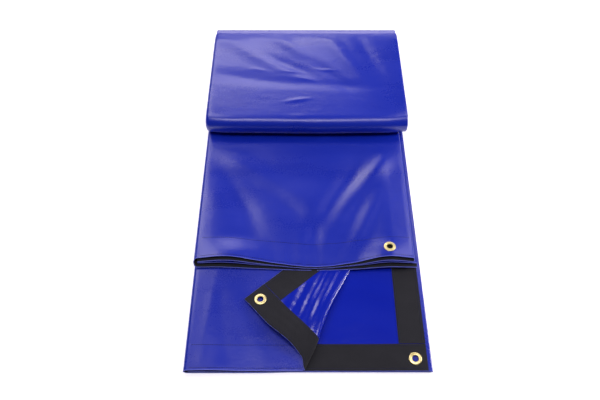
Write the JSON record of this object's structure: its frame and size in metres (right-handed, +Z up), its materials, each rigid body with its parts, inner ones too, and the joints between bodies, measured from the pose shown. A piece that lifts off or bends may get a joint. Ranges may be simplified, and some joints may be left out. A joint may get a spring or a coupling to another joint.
{
  "type": "folded welding curtain",
  "caption": "Coated-fabric welding curtain with webbing hems and brass corner grommets, folded in four and turned over into a packet for storage.",
  "frame": {"origin": "centre of the folded bundle's box, on the floor", "axes": "+X to the bundle's right, +Y to the rear fold, +Z up"},
  "size_m": [0.457, 0.866, 0.08],
  "materials": {
    "coated_fabric": "satin",
    "lofted_fabric": "satin",
    "webbing": "matte",
    "brass": "polished"
  },
  "bodies": {
    "base": {"corner_fold": "coated_fabric", "corner_grommet_eyelet": "brass", "corner_grommet_washer": "brass", "corner_hem_front": "webbing", "corner_hem_side": "webbing", "corner_panel": "coated_fabric", "lower_fold_left_inner": "coated_fabric", "lower_fold_left_outer": "coated_fabric", "lower_fold_right": "coated_fabric", "lower_hem_1": "webbing", "lower_hem_2_front": "webbing", "lower_hem_2_side": "webbing", "lower_hem_3": "webbing", "lower_hem_4": "webbing", "lower_leaf_1_top": "coated_fabric", "lower_leaf_2": "coated_fabric", "lower_leaf_3": "coated_fabric", "lower_leaf_4_bottom": "coated_fabric", "rear_fold_inner": "lofted_fabric", "rear_fold_outer": "coated_fabric", "root_fold_left_inner": "coated_fabric", "root_fold_left_outer": "coated_fabric", "root_fold_right": "coated_fabric", "root_leaf_1_top": "coated_fabric", "root_leaf_2": "coated_fabric", "root_leaf_3": "coated_fabric", "root_leaf_4": "coated_fabric"},
    "packet": {"packet_layer_1": "lofted_fabric", "packet_layer_2": "lofted_fabric", "packet_layer_3": "lofted_fabric", "packet_layer_4": "lofted_fabric"},
    "tongue": {"tongue_fold_left_inner": "coated_fabric", "tongue_fold_left_outer": "coated_fabric", "tongue_fold_right": "coated_fabric", "tongue_grommet_eyelet": "brass", "tongue_grommet_washer": "brass", "tongue_hem_1": "webbing", "tongue_hem_2": "webbing", "tongue_hem_3": "webbing", "tongue_hem_4": "webbing", "tongue_leaf_1_top": "coated_fabric", "tongue_leaf_2": "coated_fabric", "tongue_leaf_3": "coated_fabric", "tongue_leaf_4": "coated_fabric"},
    "corner_tip": {"tip_grommet_eyelet": "brass", "tip_grommet_washer": "brass", "tip_hem_front": "webbing", "tip_hem_side": "webbing", "tip_panel": "coated_fabric"}
  },
  "joints": [
    {"name": "packet_unfold", "type": "hinge", "parent": "base", "child": "packet", "pos_m": [0, 0.393, 0.04], "axis": [-1, 0, 0], "range_deg": [0, 170], "deforming": ["rear_fold_outer", "rear_fold_inner"]},
    {"name": "tongue_lift", "type": "hinge", "parent": "base", "child": "tongue", "pos_m": [0, 0.077, 0.0302], "axis": [-1, 0, 0], "range_deg": [0, 45]},
    {"name": "corner_tip_lift", "type": "hinge", "parent": "base", "child": "corner_tip", "pos_m": [-0.006, -0.433, 0.0166], "axis": [-0.1708, 0.9853, 0], "range_deg": [0, 80]}
  ]
}
